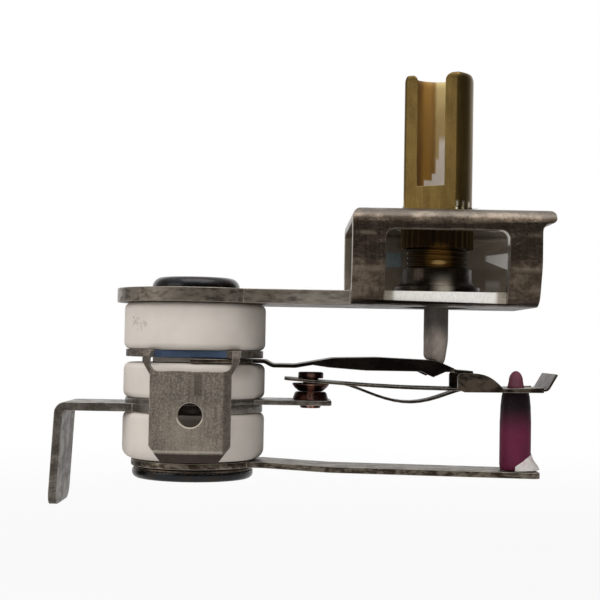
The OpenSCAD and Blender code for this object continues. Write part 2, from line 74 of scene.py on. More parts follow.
def paint(red, green, blue):
    """A screen colour, 0 to 255, as the linear colour that a shader takes."""
    def line(value):
        value /= 255
        return value / 12.92 if value <= 0.04045 else ((value + 0.055) / 1.055) ** 2.4
    return line(red), line(green), line(blue)


def colour(label, red, green, blue):
    """A colour that a user may change."""
    return FloatVectorProperty(name=label, description=f"Colour of the {label.lower()}", subtype="COLOR",
                               size=3, min=0, max=1, default=paint(red, green, blue))


def length(label, about, millimetres):
    """A length that a user may change."""
    return FloatProperty(name=label, description=about, default=millimetres * MM, min=0, max=0.2,
                         precision=5, unit="LENGTH", subtype="DISTANCE")


# Settings

class StageSettings(bpy.types.PropertyGroup):
    floor_drop: length("Floor drop", "How far the floor lies below the part", 14)
    key_light: FloatProperty(name="Key light", description="Power of the broad lamp overhead", default=0.12,
                             min=0, unit="POWER")
    fill_light: FloatProperty(name="Fill light", description="Power of the lamp at the left", default=0.04,
                              min=0, unit="POWER")
    surround: FloatProperty(name="Surround", description="Brightness of the room that lights the part",
                            default=0.9, min=0, max=2)
    shine: FloatProperty(name="Shine", description="Brightness of the room in the part's reflections",
                         default=1.0, min=0, max=2)


class FrameSettings(bpy.types.PropertyGroup):
    edge: length("Broken edge", "Width of the frame's broken edges", 0.07)
    rolled: colour("Rolled face", 106, 93, 80)
    tarnish: colour("Tarnish", 46, 35, 27)
    sheared: colour("Sheared edge", 192, 182, 166)


class SpindleSettings(bpy.types.PropertyGroup):
    pitch: length("Thread pitch", "Distance between two turns of the thread", 0.42)
    depth: length("Thread depth", "Height of the thread's ridges", 0.17)
    teeth: IntProperty(name="Knurl teeth", description="Teeth around the knurled collar", default=28, min=8,
                       max=60)
    brass: colour("Brass", 118, 96, 53)
    amber: colour("Bore", 176, 132, 58)


class StackSettings(bpy.types.PropertyGroup):
    ceramic: colour("Ceramic", 228, 217, 206)
    speck: colour("Specks", 92, 84, 80)
    blued: colour("Blued steel", 44, 45, 48)


class TerminalSettings(bpy.types.PropertyGroup):
    edge: length("Broken edge", "Width of the terminals' broken edges", 0.06)
    front: colour("Front tab", 132, 122, 109)
    side: colour("Side tab", 124, 117, 109)


class BladeSettings(bpy.types.PropertyGroup):
    edge: length("Broken edge", "Width of the blades' broken edges", 0.035)
    spring: colour("Spring strip", 106, 94, 80)
    burnt: colour("Heat stain", 44, 36, 32)
    contact: colour("Contact alloy", 84, 48, 38)


class BimetalSettings(bpy.types.PropertyGroup):
    strip: colour("Bimetal", 134, 124, 110)
    stained: colour("Stained ceramic", 106, 26, 60)
    cement: colour("Cement", 224, 218, 212)
    plain: colour("Adjusting pin", 184, 171, 158)


# Shader maths

class Value:
    """A node's output that takes part in Python arithmetic."""

    def __init__(self, nodes, socket):
        self.nodes = nodes
        self.socket = socket

    def maths(self, operation, *others):
        return self.nodes.node("ShaderNodeMath", {"operation": operation}, dict(enumerate((self,) + others)))

    def __add__(self, other):
        return self.maths("ADD", other)

    __radd__ = __add__

    def __mul__(self, other):
        return self.maths("MULTIPLY", other)

    __rmul__ = __mul__

    def __sub__(self, other):
        return self.maths("SUBTRACT", other)

    def __rsub__(self, other):
        return self.nodes.node("ShaderNodeMath", {"operation": "SUBTRACT"}, {0: other, 1: self})

    def __abs__(self):
        return self.maths("ABSOLUTE")

    def most(self, other):
        return self.maths("MAXIMUM", other)

    def between(self, low, high):
        """0 below low, 1 above high, smooth between. With high below low it falls."""
        if high < low:
            return 1 - self.between(high, low)
        kind = {"data_type": "FLOAT", "interpolation_type": "SMOOTHSTEP", "clamp": True}
        return self.nodes.node("ShaderNodeMapRange", kind, {0: self, 1: low, 2: high, 3: 0.0, 4: 1.0})

    def span(self, low, full, last, high):
        """0 below low, 1 from full to last, 0 above high, smooth between."""
        return self.between(low, full) * self.between(high, last)


class Nodes:
    """A node tree whose nodes are added by calls."""

    def __init__(self, tree):
        self.tree = tree
        tree.nodes.clear()

    def node(self, kind, settings=None, values=None, output=0):
        """Adds a node: its settings first, then the values or links of its sockets."""
        made = self.tree.nodes.new(kind)
        for key, value in (settings or {}).items():
            setattr(made, key, value)
        for key, value in (values or {}).items():
            socket = made.inputs[key]
            if isinstance(value, Value):
                self.tree.links.new(value.socket, socket)
            else:
                socket.default_value = (*value, 1) if socket.type == "RGBA" else value
        return Value(self, made.outputs[output]) if len(made.outputs) else None

    def outputs(self, made, *names):
        """Other outputs of a node that was made."""
        return [Value(self, made.socket.node.outputs[name]) for name in names]

    def rays(self):
        """1 for rays from the camera, 1 for those that a shiny or a clear surface sends on."""
        path = self.node("ShaderNodeLightPath")
        seen, glossy, clear = self.outputs(path, "Is Camera Ray", "Is Glossy Ray", "Is Transmission Ray")
        return seen, glossy.most(clear)

    def mix(self, factor, first, second):
        """A colour between two, by factor."""
        kind = {"data_type": "RGBA", "clamp_factor": True}
        return self.node("ShaderNodeMix", kind, {0: factor, 6: first, 7: second}, 2)

    def coats(self, base, *coats):
        """Lays colours over a base in turn. Each coat is a mask and its colour."""
        for mask, tint in coats:
            base = self.mix(mask, base, tint)
        return base

    def parts(self, vector):
        """The three numbers of a vector."""
        return self.outputs(self.node("ShaderNodeSeparateXYZ", None, {0: vector}), 0, 1, 2)


class Finish(Nodes):
    """A material."""

    def __init__(self, name, viewport):
        self.material = bpy.data.materials.new(name)
        self.material.use_nodes = True
        self.material.diffuse_color = (*viewport, 1)
        super().__init__(self.material.node_tree)

    def place(self, stretch=(1, 1, 1), move=(0, 0, 0)):
        """Object coordinates in millimetres, then stretched and moved."""
        where = self.node("ShaderNodeTexCoord", None, None, "Object")
        return self.node("ShaderNodeMapping", {"vector_type": "POINT"},
                         {0: where, 1: move, 3: tuple(s / MM for s in stretch)})

    def cloud(self, size, stretch=(1, 1, 1), detail=3.0, rough=0.55, bend=0.0, move=(0, 0, 0)):
        """Soft noise whose features are about size millimetres across."""
        return self.node("ShaderNodeTexNoise", None, {
            "Vector": self.place(stretch, move), "Scale": 1 / size, "Detail": detail, "Roughness": rough,
            "Distortion": bend})

    def cells(self, size):
        """Distance from the nearest of many scattered points."""
        return self.node("ShaderNodeTexVoronoi", {"feature": "F1"}, {
            "Vector": self.place(), "Scale": 1 / size, "Randomness": 1.0})

    def worn(self, layer="edge"):
        """A number kept in the mesh, such as 1 on its broken edges."""
        kind = {"attribute_type": "GEOMETRY", "attribute_name": layer}
        return self.node("ShaderNodeAttribute", kind, None, "Fac")

    def bump(self, height, depth, strength=0.5):
        """A normal from a height in 0 to 1 that stands for depth millimetres."""
        return self.node("ShaderNodeBump", None, {
            "Strength": strength, "Distance": depth * MM, "Height": height})

    def surface(self, **values):
        """Ends the material in one principled surface."""
        names = {"base": "Base Color", "metal": "Metallic", "rough": "Roughness", "normal": "Normal",
                 "coat": "Coat Weight", "coat_rough": "Coat Roughness", "specular": "Specular IOR Level",
                 "scatter": "Subsurface Weight"}
        shader = self.node("ShaderNodeBsdfPrincipled", None, {names[k]: v for k, v in values.items()})
        self.node("ShaderNodeOutputMaterial", None, {0: shader})
        return self.material


# Places on the part

def size_of(node):
    """Lowest and highest corner of a CAD node, in millimetres."""
    low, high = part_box(node)
    return low / MM, high / MM


def middle(node):
    """Middle of a CAD node's box, in millimetres."""
    low, high = size_of(node)
    return (low + high) / 2


def apart(x, z, centre, weights=(1, 1)):
    """Square of the distance of x and z from a centre, with a weight for each of the two."""
    across, up = x - centre[0], z - centre[1]
    return across * across * weights[0] + up * up * weights[1]


# Finishes

def darker(tint, share):
    """A share of a colour's brightness."""
    return tuple(part * share for part in tint)


def nickel_plate(name, rolled, dark, sheared, grain=0.15, tarnish=0.8, metal=0.97, gloss=0.24, marks=None):
    """Nickel on sheet: soft blotches, drawn streaks, grain, bright broken edges, dull sheared faces, painted
    inner shade.
    marks adds what one piece alone has. It gives the colour, and 1 where the plate doesn't shine."""
    f = Finish(name, rolled)
    blotch = f.cloud(1.1, (0.6, 0.8, 0.9), detail=4, rough=0.6, bend=0.2)
    drawn = f.cloud(0.4, (1.7, 1.7, 0.14), detail=4, rough=0.6)
    grit = f.cloud(0.16, detail=2, rough=0.6)
    wear = f.cloud(0.5, (0.35, 1, 1.3), detail=4, rough=0.6)
    stain = blotch.between(0.4, 0.6)
    cut = f.worn("cut")
    face = f.mix(wear.between(0.42, 0.66) * (1.25 - cut), sheared, dark)
    base = f.coats(
        rolled, (stain * tarnish, dark), (drawn.between(0.46, 0.62) * 0.35, dark),
        (grit.between(0.46, 0.66) * grain, sheared), (grit.between(0.5, 0.34) * grain, dark),
        (cut, face), (f.worn() * wear.between(0.3, 0.55) * 0.9, sheared),
        # painted shade: inner faces darkened
        (f.worn("inner") * 0.5, darker(dark, 0.5)))
    shiny = metal - 0.5 * cut
    if marks:
        base, dull = marks(f, base)
        shiny = shiny * (1 - dull)
    return f.surface(base=base, metal=shiny, rough=gloss + 0.14 * stain + 0.1 * grit,
                     normal=f.bump(blotch + drawn * 0.2 + grit * 0.3 * grain, 0.12, 0.9))


def fold_marks(f, base):
    """Painted highlights on the front wall's legs, under the plate and on the foot under its window, painted
    light inside.
    """
    x, y, z = f.parts(f.place())
    cut, inner = f.worn("cut"), f.worn("inner")
    front = size_of("support_frame")[0].y
    wall = y.between(front + 0.3, front + 0.05)
    # painted highlights: a line at the legs' step, one at their crease and one on the bend under the plate
    fold_highlight = abs(z + 2.1).between(0.28, 0.02) * abs(x).between(4.6, 5.4) * wall
    fold_highlight = fold_highlight * f.cloud(0.6, (1, 1, 0.2), detail=2).between(0.3, 0.6)
    band = abs(z + 4.9).between(0.35, 0.05) * abs(x).between(4.9, 5.4) * wall * (1 - cut)
    bend_highlight = z.between(-0.9, -0.5) * y.between(-5.6, -6.2)
    arm_end = x.between(-9, -17)
    arm_root = x.span(-14, -9, -6, -4)
    base = f.coats(
        base, (fold_highlight * 0.45, paint(190, 174, 152)), (band * 0.3, paint(168, 152, 134)),
        (bend_highlight * 0.2, paint(186, 178, 168)), (cut * arm_end * 0.55, paint(60, 50, 42)),
        (cut * arm_root * 0.5, paint(214, 206, 194)))
    # painted light inside: inner faces lighter, pale marks on the rear wall, a blue-grey reflection and a
    # highlight at the window's upper right
    rear = inner * y.between(5.5, 6.5)
    wedge_light = (0.2 + 0.25 * (x - 4.9) - abs(z + 3.15 + (x - 6) * 0.12)).between(-0.05, 0.05)
    wedge_light = wedge_light * x.between(4.9, 5.3)
    patch = x.span(4.9, 5.1, 6.0, 6.5) * z.between(-4.8, -5.5)
    teal_reflection = rear * x.span(-4.1, -3.8, -2.6, -2.2) * abs(z + 3.3).between(0.75, 0.55)
    corner = x.span(3.9, 4.3, 4.9, 5.0) * y.span(-7.48, -7.4, -6.3, -6.1) * z.span(-3.1, -2.7, -1.74, -1.7)
    # foot: a painted highlight on the sheared edge under the window
    foot = cut.between(0.8, 1.0) * x.span(-4.3, -3.9, 3.9, 4.3)
    foot = foot * (0.5 + 0.8 * f.cloud(0.15, (1, 1, 0.4), detail=2))
    # pale gathers the painted light, highlights and reflections, painted near white and dull
    pale = (rear * wedge_light.most(patch * 0.8)).most(corner).most(foot)
    base = f.coats(base, (inner * 0.8, paint(146, 134, 118)), (teal_reflection, paint(118, 132, 134)),
                   (pale, paint(252, 248, 242)))
    return base, pale.most(inner * 0.55).most(teal_reflection)


def painted_sheen(f, base):
    """A painted highlight down a turned piece's front."""
    x, y, z = f.parts(f.place())
    sheen = x.span(-1.1, 0.1, 0.4, 1.3) * y.between(0, -1) * z.between(-4.6, -6.6)
    return f.mix(sheen, base, paint(232, 220, 200)), sheen * 0.8


def tab_marks(f, base):
    """A coined band at the tab's foot, pressed side lines, lighter in the middle, a painted glint line, a
    painted highlight under the hole, a dark stripe over the hole, and on the ring above the tab dark ends
    and a painted blue reflection on its edge."""
    x, y, z = f.parts(f.place())
    low = size_of("front_terminal")[0]
    across = abs(x - middle("stack_eyelet").x)
    front = y.between(low.y + 0.7, low.y + 0.4)
    coined = z.between(low.z + 0.75, low.z + 0.6)
    side = across.between(2.75, 2.95)
    patchy = 0.35 + 0.5 * f.cloud(0.5).between(0.35, 0.65)
    ring_end = y.between(-5.2, -4.6) * z.between(-13.2, -12.4) * patchy
    # painted glint line across the tab's foot
    glint = abs(z - low.z - 0.85).between(0.12, 0.04) * (1 - side)
    # lighter down the middle of the tab
    rubbed = across.between(2.5, 0.8) * z.between(-14.5, -18) * (1 - coined)
    # a painted highlight under the hole
    crescent_highlight = apart(x, z, (-19.82, -16.46)).between(1.32, 1.14) * z.between(-16.6, -17.1)
    # a dark stripe over the hole
    dark_stripe = abs(x + 19.2).between(0.45, 0.2) * z.span(-15.3, -14.9, -13.5, -13.1)
    # a painted blue reflection on the ring's edge
    rim_reflection = across.between(3.0, 2.7) * y.span(-6.2, -5.8, -4.8, -4.2)
    return f.coats(
        base, (front * coined.most(side * 0.6) * 0.92, paint(50, 38, 32)),
        (ring_end, paint(52, 40, 32)), (front * glint * 0.35, paint(228, 220, 206)),
        (front * rubbed * 0.26, paint(186, 174, 156)),
        (front * crescent_highlight * 0.8, paint(226, 216, 198)),
        (front * dark_stripe * 0.6, paint(70, 62, 55)), (rim_reflection * 0.9, paint(84, 108, 142))), 0.0


def hole_shade(f):
    """1 on what lies in the shade behind the front tab's hole."""
    x, y, z = f.parts(f.place())
    return apart(x, z, (-20.15, -16.5)).between(2.4, 1.5) * y.between(-4, -5)


def shaded_marks(f, base):
    """The shade behind the front tab's hole."""
    return f.mix(hole_shade(f) * 0.9, base, paint(40, 32, 26)), 0.0


def turned_brass(name, brass, amber):
    """Brass with fine drawn lines, dulled in places, with painted shade and highlights below the bracket's
    plate. The bore
    is amber: painted shade on its left wall, a painted highlight further in, a painted pale reflection at
    its foot."""
    f = Finish(name, brass)
    x, y, z = f.parts(f.place())
    inner, worn = f.worn("inner"), f.worn()
    drawn = f.cloud(0.3, (1.8, 1.8, 0.1), detail=4)
    dull = f.cloud(1.6, (1, 1, 0.6), detail=4)
    side = x + 0.35 * (f.cloud(0.7, (1, 1, 0.4)) - 0.5)
    # painted pale reflection in steps at the foot of the bore
    rubbed = 0.0
    for left, top, fade in ((-1.0, 3.25, 0.1), (-0.3, 3.85, 0.1), (0.03, 5.1, 0.2), (0.28, 6.8, 0.5)):
        rubbed = (x.between(left - 0.05, left + 0.05) * z.between(top + fade, top - fade)).most(rubbed)
    # bore: painted shade on its left wall, a painted highlight further in, a darker amber higher up
    bore = f.coats(f.mix(side.between(-1.5, -0.9), paint(120, 84, 34), amber),
                   (side.between(-0.6, -0.2) * 0.6, paint(134, 100, 36)),
                   (side.span(-0.2, 0.1, 0.8, 1.5), paint(212, 188, 126)),
                   (z.span(4, 8, 8.6, 10.4) * 0.35, paint(150, 118, 60)),
                   (rubbed * x.between(1.0, 0.85), paint(250, 242, 230)))
    # painted shade below the plate, with a painted highlight and a brighter painted spot on the thread, and
    # painted highlights on the knurl's teeth above the plate
    shade = z.between(-0.3, -0.9)
    away = y.between(-1.0, 0.0) * 9
    glow_highlight = (away + apart(x, z, (-0.1, -3.7), (0.9, 0.7))).between(1.6, 0.0)
    spark_highlight = (away + apart(x, z, (-0.1, -4.05), (0.9, 6))).between(0.5, 0.0)
    teeth_highlights = (x - 1.32).maths("PINGPONG", 0.27).between(0.13, 0.07) * x.span(1.15, 1.2, 2.6, 2.7)
    teeth_highlights = teeth_highlights * y.between(0, -0.2) * z.span(0.3, 0.4, 0.95, 1.2)
    base = f.coats(
        brass, (dull.between(0.4, 0.66) * 0.45, darker(brass, 0.5)),
        (drawn.between(0.48, 0.7) * 0.14, paint(176, 152, 96)),
        (f.cloud(0.14, detail=2).between(0.5, 0.75) * 0.25, paint(150, 126, 78)), (inner, bore),
        (shade * 0.95, paint(46, 33, 20)), (glow_highlight * 0.55, paint(176, 130, 60)),
        (spark_highlight * 0.8, paint(250, 216, 146)), (teeth_highlights * 0.9, paint(250, 240, 214)),
        (worn * (1 - shade * 0.9) * 0.75, paint(186, 164, 116)))
    return f.surface(base=base, metal=1 - inner,
                     rough=0.3 + 0.12 * dull - 0.06 * worn + 0.2 * inner + 0.25 * shade,
                     normal=f.bump(dull * 0.7 + drawn * 0.3, 0.02, 0.4))


def steatite(name, ceramic, speck):
    """Unglazed ceramic: warm white with fine grain and a few specks, painted shade at the right and a
    painted shadow by the tab.
    """
    f = Finish(name, ceramic)
    x, y, z = f.parts(f.place())
    soft = f.cloud(3.0, detail=2)
    grain = f.cloud(0.12, detail=2, rough=0.6)
    spots = f.cells(0.9).between(0.12, 0.05) * f.cloud(2.2, move=(3, 5, 1)).between(0.57, 0.64)
    rubbed = f.cloud(0.7, (1, 1, 2.2), detail=4, rough=0.7).between(0.62, 0.76)
    tab_shadow = x.span(-17.3, -16.4, -15.6, -14.6) * z.span(-14.2, -12.9, -12.6, -12.5)
    smudge = apart(x, z, (-24.3, -9.5), (1, 1.6)).between(0.9, 0.1) * y.between(0, -1)
    smudge = smudge * f.cloud(0.4, detail=2).between(0.45, 0.75)
    base = f.coats(
        ceramic, (soft.between(0.35, 0.7) * 0.5, darker(ceramic, 0.84)),
        (rubbed * 0.16, paint(150, 142, 136)), (spots * 0.8, speck),
        # painted shade towards the right and a painted shadow beside the tab
        (x.between(-17.6, -14.4) * 0.38, darker(ceramic, 0.4)),
        (tab_shadow * 0.5, paint(92, 80, 68)), (hole_shade(f) * 0.9, paint(58, 48, 38)),
        (smudge * 0.5, speck))
    return f.surface(base=base, metal=0.0, rough=0.58 + 0.14 * grain, specular=0.3, scatter=0.04,
                     normal=f.bump(grain * 0.4 + soft * 0.6 - spots * 0.8, 0.03))


def blued_steel(name, blued):
    """Blue-black glossy steel, browner in patches and rubbed bright on its rims."""
    f = Finish(name, blued)
    patch = f.cloud(1.3)
    fine = f.cloud(0.3)
    base = f.coats(
        blued, (patch.between(0.4, 0.65), paint(52, 46, 42)),
        (fine.between(0.62, 0.78) * 0.5, paint(112, 112, 116)),
        (f.worn() * fine.between(0.35, 0.6) * 0.7, paint(150, 150, 154)))
    return f.surface(base=base, metal=0.95, rough=0.16 + 0.2 * fine, coat=0.15, coat_rough=0.12,
                     normal=f.bump(fine * 0.5 + patch * 0.5, 0.03))


def spring_strip(name, spring, burnt):
    """Dark rolled strip: flat faces pale and lined, turned-down edges painted nearly black as shade, thin
    edges bright.
    """
    f = Finish(name, spring)
    x = f.parts(f.place())[0]
    lines = f.cloud(0.3, (0.12, 2.4, 1.0))
    stain = f.cloud(1.2, (0.7, 1, 1), detail=5, rough=0.62, bend=0.5)
    fine = f.cloud(0.2, rough=0.65)
    edge = f.worn() * fine.between(0.1, 0.4)
    base = f.coats(
        spring, (stain.between(0.4, 0.58), burnt),
        (fine.between(0.56, 0.74) * 0.35, paint(150, 138, 124)),
        # painted shade: the turned-down flanges nearly black
        (f.worn("inner") * x.between(1.0, 0.8) * 0.92, paint(16, 12, 11)),
        (x.between(8.0, 8.6) * 0.5, burnt), (edge * 0.9, paint(204, 196, 184)))
    return f.surface(base=base, metal=0.95, rough=0.3 + 0.18 * stain - 0.06 * edge,
                     normal=f.bump(lines * 0.5 + fine * 0.4, 0.02))


def rolled_bimetal(name, strip):
    """Rolled strip, mottled and lined along its length."""
    f = Finish(name, strip)
    lines = f.cloud(0.4, (0.1, 2.0, 1.0))
    mottle = f.cloud(0.8, (0.7, 1, 1.4), detail=4, rough=0.66)
    edge = f.worn() * mottle.between(0.25, 0.45)
    base = f.coats(
        strip, (mottle.between(0.4, 0.58), paint(66, 55, 46)),
        (lines.between(0.55, 0.7) * 0.4, paint(172, 162, 146)), (edge * 0.8, paint(206, 198, 184)))
    return f.surface(base=base, metal=0.9, rough=0.36 + 0.15 * mottle,
                     normal=f.bump(lines * 0.5 + mottle * 0.5, 0.03))


def contact_alloy(name, alloy):
    """Copper alloy darkened by heat, with a painted pink highlight down the middle and a few bright places.
    """
    f = Finish(name, alloy)
    x = f.parts(f.place())[0]
    patch = f.cloud(0.7, detail=4, rough=0.6)
    fine = f.cloud(0.18, detail=2)
    pink_highlight = abs(x - middle("fixed_contact").x).between(0.42, 0.12) * fine.between(0.3, 0.5)
    # bright places: worn edges, random flecks and the painted pink highlight
    bright = (f.worn() * 0.5).most(fine.between(0.62, 0.74) * 0.4).most(pink_highlight * 0.8)
    base = f.coats(alloy, (patch.between(0.36, 0.54), paint(48, 28, 24)), (bright, paint(222, 168, 150)))
    return f.surface(base=base, metal=0.9, rough=0.28 + 0.18 * patch, normal=f.bump(fine, 0.02))


def pressed_ceramic(name, body, dark):
    """A pressed ceramic rod: dusty, darker where it enters the bushing."""
    f = Finish(name, body)
    z = f.parts(f.place())[2]
    soft = f.cloud(0.9, (1, 1, 0.6), detail=4)
    grain = f.cloud(0.15, detail=2)
    base = f.coats(
        body, (soft.between(0.4, 0.66) * 0.5, dark),
        (z.between(-10.8, -8.8) * 0.85, darker(dark, 0.4)),
        (grain.between(0.6, 0.75) * 0.2, paint(190, 184, 176)))
    return f.surface(base=base, metal=0.0, rough=0.5 + 0.15 * grain, specular=0.4,
                     normal=f.bump(grain * 0.5 + soft * 0.5, 0.03))


def stained_ceramic(name, stained):
    """Magenta ceramic, painted nearly black as shade close under the blade, with painted light at its tip,
    lighter at its foot.
    """
    f = Finish(name, stained)
    z = f.parts(f.place())[2]
    soft = f.cloud(0.8, (1, 1, 0.5), detail=4)
    grain = f.cloud(0.14, detail=2)
    base = f.coats(
        stained, (soft.between(0.35, 0.65) * 0.35, paint(84, 30, 54)),
        # painted shade under the blade, then painted light at the tip
        (z.span(-18.2, -15.6, -14.4, -14.1) * 0.97, paint(20, 8, 12)),
        (z.between(-14.4, -14.0) * 0.8, paint(140, 84, 98)),
        (grain.between(0.6, 0.74) * 0.12, paint(170, 110, 140)))
    return f.surface(base=base, metal=0.0, rough=0.5 + 0.15 * grain, specular=0.25,
                     normal=f.bump(grain * 0.5 + soft * 0.6, 0.04))


def dry_cement(name, cement):
    """White cement, chalky and crumbled."""
    f = Finish(name, cement)
    lump = f.cloud(0.5, detail=4, rough=0.6)
    base = f.mix(lump.between(0.46, 0.68) * 0.7, cement, paint(206, 180, 184))
    return f.surface(base=base, metal=0.0, rough=0.75 + 0.1 * lump, specular=0.3,
                     normal=f.bump(lump, 0.06, 0.6))


# Shapes

def joined_copy(node, reshape=None):
    """A CAD node's mesh with its triangles joined into faces."""
    bm = bmesh.new()
    bm.from_mesh(frame["nodes"][node].data)
    bmesh.ops.remove_doubles(bm, verts=bm.verts, dist=2e-6)
    if reshape:
        for vert in bm.verts:
            vert.co = reshape(vert.co / MM) * MM
    bmesh.ops.dissolve_limit(bm, angle_limit=math.radians(0.6), verts=bm.verts, edges=bm.edges)
    bm.normal_update()
    return bm


def break_edges(bm, width=0.05 * MM, sharp=30, cut=None, inner=None, rubbed=None):
    """Rounds the sharp edges and keeps 1, or what rubbed gives there, in the mesh's "edge" layer. The faces
    that cut and inner choose are marked in the layers of those names."""
    edge = bm.verts.layers.float.new("edge")
    for name, test in (("cut", cut), ("inner", inner)):
        layer = bm.faces.layers.float.new(name)
        for face in bm.faces:
            face[layer] = float(test(face.calc_center_median() / MM, face.normal)) if test else 0.0
    corners = [e for e in bm.edges if len(e.link_faces) == 2 and e.calc_face_angle(0) > math.radians(sharp)]
    made = bmesh.ops.bevel(bm, geom=corners, offset=width, offset_type="OFFSET", segments=2, profile=0.5,
                           affect="EDGES", clamp_overlap=False, loop_slide=True)
    strip = set(made["faces"])
    for face in strip:
        for vert in face.verts:
            if all(f in strip for f in vert.link_faces):
                vert[edge] = rubbed(vert.co / MM) if rubbed else 1.0


def ring_at_cut(bm):
    """The vertices round the one open end of a mesh, in order."""
    follow = next(e for e in bm.edges if e.is_boundary)
    ring = [follow.verts[0]]
    while True:
        here = follow.other_vert(ring[-1])
        if here is ring[0]:
            return ring
        ring.append(here)
        follow = next(e for e in here.link_edges if e.is_boundary and e is not follow)


def round_end(bm, cut, top, inset, height, drawn_in, steps=7):
    """Cuts the mesh off at one height and builds it up again from outlines that drawn_in gives."""
    bmesh.ops.bisect_plane(bm, geom=bm.verts[:] + bm.edges[:] + bm.faces[:], plane_co=(0, 0, cut * MM),
                           plane_no=(0, 0, 1), clear_outer=True, dist=1e-7)
    before = ring_at_cut(bm)
    outline = [v.co.xy / MM for v in before]
    for k in range(steps + 1):
        a = math.pi / 2 * k / steps
        z = top - height + height * math.sin(a)
        level = [bm.verts.new(Vector((*drawn_in(p, inset * (1 - math.cos(a))), z)) * MM) for p in outline]
        for i in range(len(level)):
            bm.faces.new((before[i - 1], before[i], level[i], level[i - 1]))
        before = level
    last = [bm.edges.get((a, b)) for a, b in zip(before, before[1:] + before[:1])]
    bmesh.ops.triangle_fill(bm, use_beauty=True, use_dissolve=False, edges=last, normal=(0, 0, 1))
    bmesh.ops.remove_doubles(bm, verts=bm.verts, dist=1e-6)
    bmesh.ops.recalc_face_normals(bm, faces=bm.faces)
    bm.normal_update()


def bake_modifiers(piece):
    """Turns what the modifiers make into the piece's own mesh."""
    bpy.context.view_layer.update()
    evaluated = piece.evaluated_get(bpy.context.evaluated_depsgraph_get())
    made = bpy.data.meshes.new_from_object(evaluated)
    piece.modifiers.clear()
    piece.data = made


def settle(bm, name, material, body, slot, *nodes):
    """Makes the piece an object with weighted normals, rides it on its body and hides what it stands for."""
    mesh = bpy.data.meshes.new(name)
    bm.to_mesh(mesh)
    bm.free()
    mesh.materials.clear()
    mesh.materials.append(material)
    for polygon in mesh.polygons:
        polygon.use_smooth = True
        polygon.material_index = 0
    piece = bpy.data.objects.new(name, mesh)
    bpy.context.scene.collection.objects.link(piece)
    weigh = piece.modifiers.new("weigh", "WEIGHTED_NORMAL")
    weigh.weight = 60
    weigh.keep_sharp = False
    bake_modifiers(piece)
    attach(piece, body)
    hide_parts(*nodes)


def finished(node, name, material, body, slot, reshape=None, **edges):
    """Makes a CAD node's finished piece: its mesh, reshaped where asked, with broken edges."""
    bm = joined_copy(node, reshape)
    break_edges(bm, **edges)
    settle(bm, name, material, body, slot, node)


def soften(profile, radius, steps=3):
    """Rounds the inner corners of an (r, z) outline in millimetres."""
    points = [Vector(p) for p in profile]
    done = [points[0]]
    for before, here, after in zip(points, points[1:], points[2:]):
        to, on = before - here, after - here
        reach = min(radius, to.length * 0.45, on.length * 0.45)
        a, b = here + to.normalized() * reach, here + on.normalized() * reach
        for k in range(steps + 1):
            t = k / steps
            done.append(a * (1 - t) ** 2 + here * 2 * t * (1 - t) + b * t * t)
    return done + [points[-1]]


def lathe(profile, steps, wobble, size):
    """Turns an (r, z) outline in millimetres, which starts and ends on the axis, round the spindle's axis.
    Noise moves its points off true by wobble."""
    noise.seed_set(1)
    bm = bmesh.new()
    rings = []
    for r, z in profile:
        ring = []
        for k in range(steps if r else 1):
            a = 2 * math.pi * k / steps
            point = Vector((r * math.cos(a), r * math.sin(a), z))
            if r:
                point += noise.noise_vector(point / size) * wobble
            ring.append(bm.verts.new(point * MM))
        rings.append(ring)
    for low, high in zip(rings, rings[1:]):
        for k in range(steps):
            n = (k + 1) % steps
            if len(low) == 1:
                bm.faces.new((low[0], high[n], high[k]))
            elif len(high) == 1:
                bm.faces.new((low[k], low[n], high[0]))
            else:
                bm.faces.new((low[k], low[n], high[n], high[k]))
    bmesh.ops.recalc_face_normals(bm, faces=bm.faces)
    bm.verts.layers.float.new("edge")
    return bm


# Geometry Nodes

class Pattern(Nodes):
    """A Geometry Nodes tree that makes a repeated piece, with named inputs for its sizes."""

    def __init__(self, name, sizes):
        super().__init__(bpy.data.node_groups.new(name, "GeometryNodeTree"))
        self.tree.is_modifier = True
        face = self.tree.interface
        face.new_socket("Geometry", in_out="INPUT", socket_type="NodeSocketGeometry")
        self.sockets = {}
        for label, value in sizes.items():
            kind = "NodeSocketInt" if isinstance(value, int) else "NodeSocketFloat"
            socket = face.new_socket(label, in_out="INPUT", socket_type=kind)
            socket.default_value = value
            self.sockets[label] = (socket.identifier, value)
        stuff = face.new_socket("Material", in_out="INPUT", socket_type="NodeSocketMaterial")
        self.sockets["Material"] = (stuff.identifier, None)
        face.new_socket("Geometry", in_out="OUTPUT", socket_type="NodeSocketGeometry")
        inputs = self.tree.nodes.new("NodeGroupInput").outputs
        self.given = {label: Value(self, inputs[label]) for label in self.sockets}

    def vector(self, x=0.0, y=0.0, z=0.0):
        return self.node("ShaderNodeCombineXYZ", None, {0: x, 1: y, 2: z})

    def end(self, shape):
        whole = self.node("GeometryNodeRealizeInstances", None, {0: shape})
        painted = self.node("GeometryNodeSetMaterial", None, {0: whole, 2: self.given["Material"]})
        self.node("NodeGroupOutput", None, {0: painted})

    def make(self, name, material, body, slot, wear=0.35, **sizes):
        """Runs the tree once and keeps what it makes as a plain piece."""
        piece = bpy.data.objects.new(name, bpy.data.meshes.new(name))
        bpy.context.scene.collection.objects.link(piece)
        run = piece.modifiers.new(name, "NODES")
        run.node_group = self.tree
        for label, (socket, value) in self.sockets.items():
            key = label.lower().replace(" ", "_")
            run[socket] = material if label == "Material" else sizes.get(key, value)
        bake_modifiers(piece)
        edge = piece.data.attributes.new("edge", "FLOAT", "POINT")
        edge.data.foreach_set("value", [wear] * len(piece.data.vertices))
        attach(piece, body)


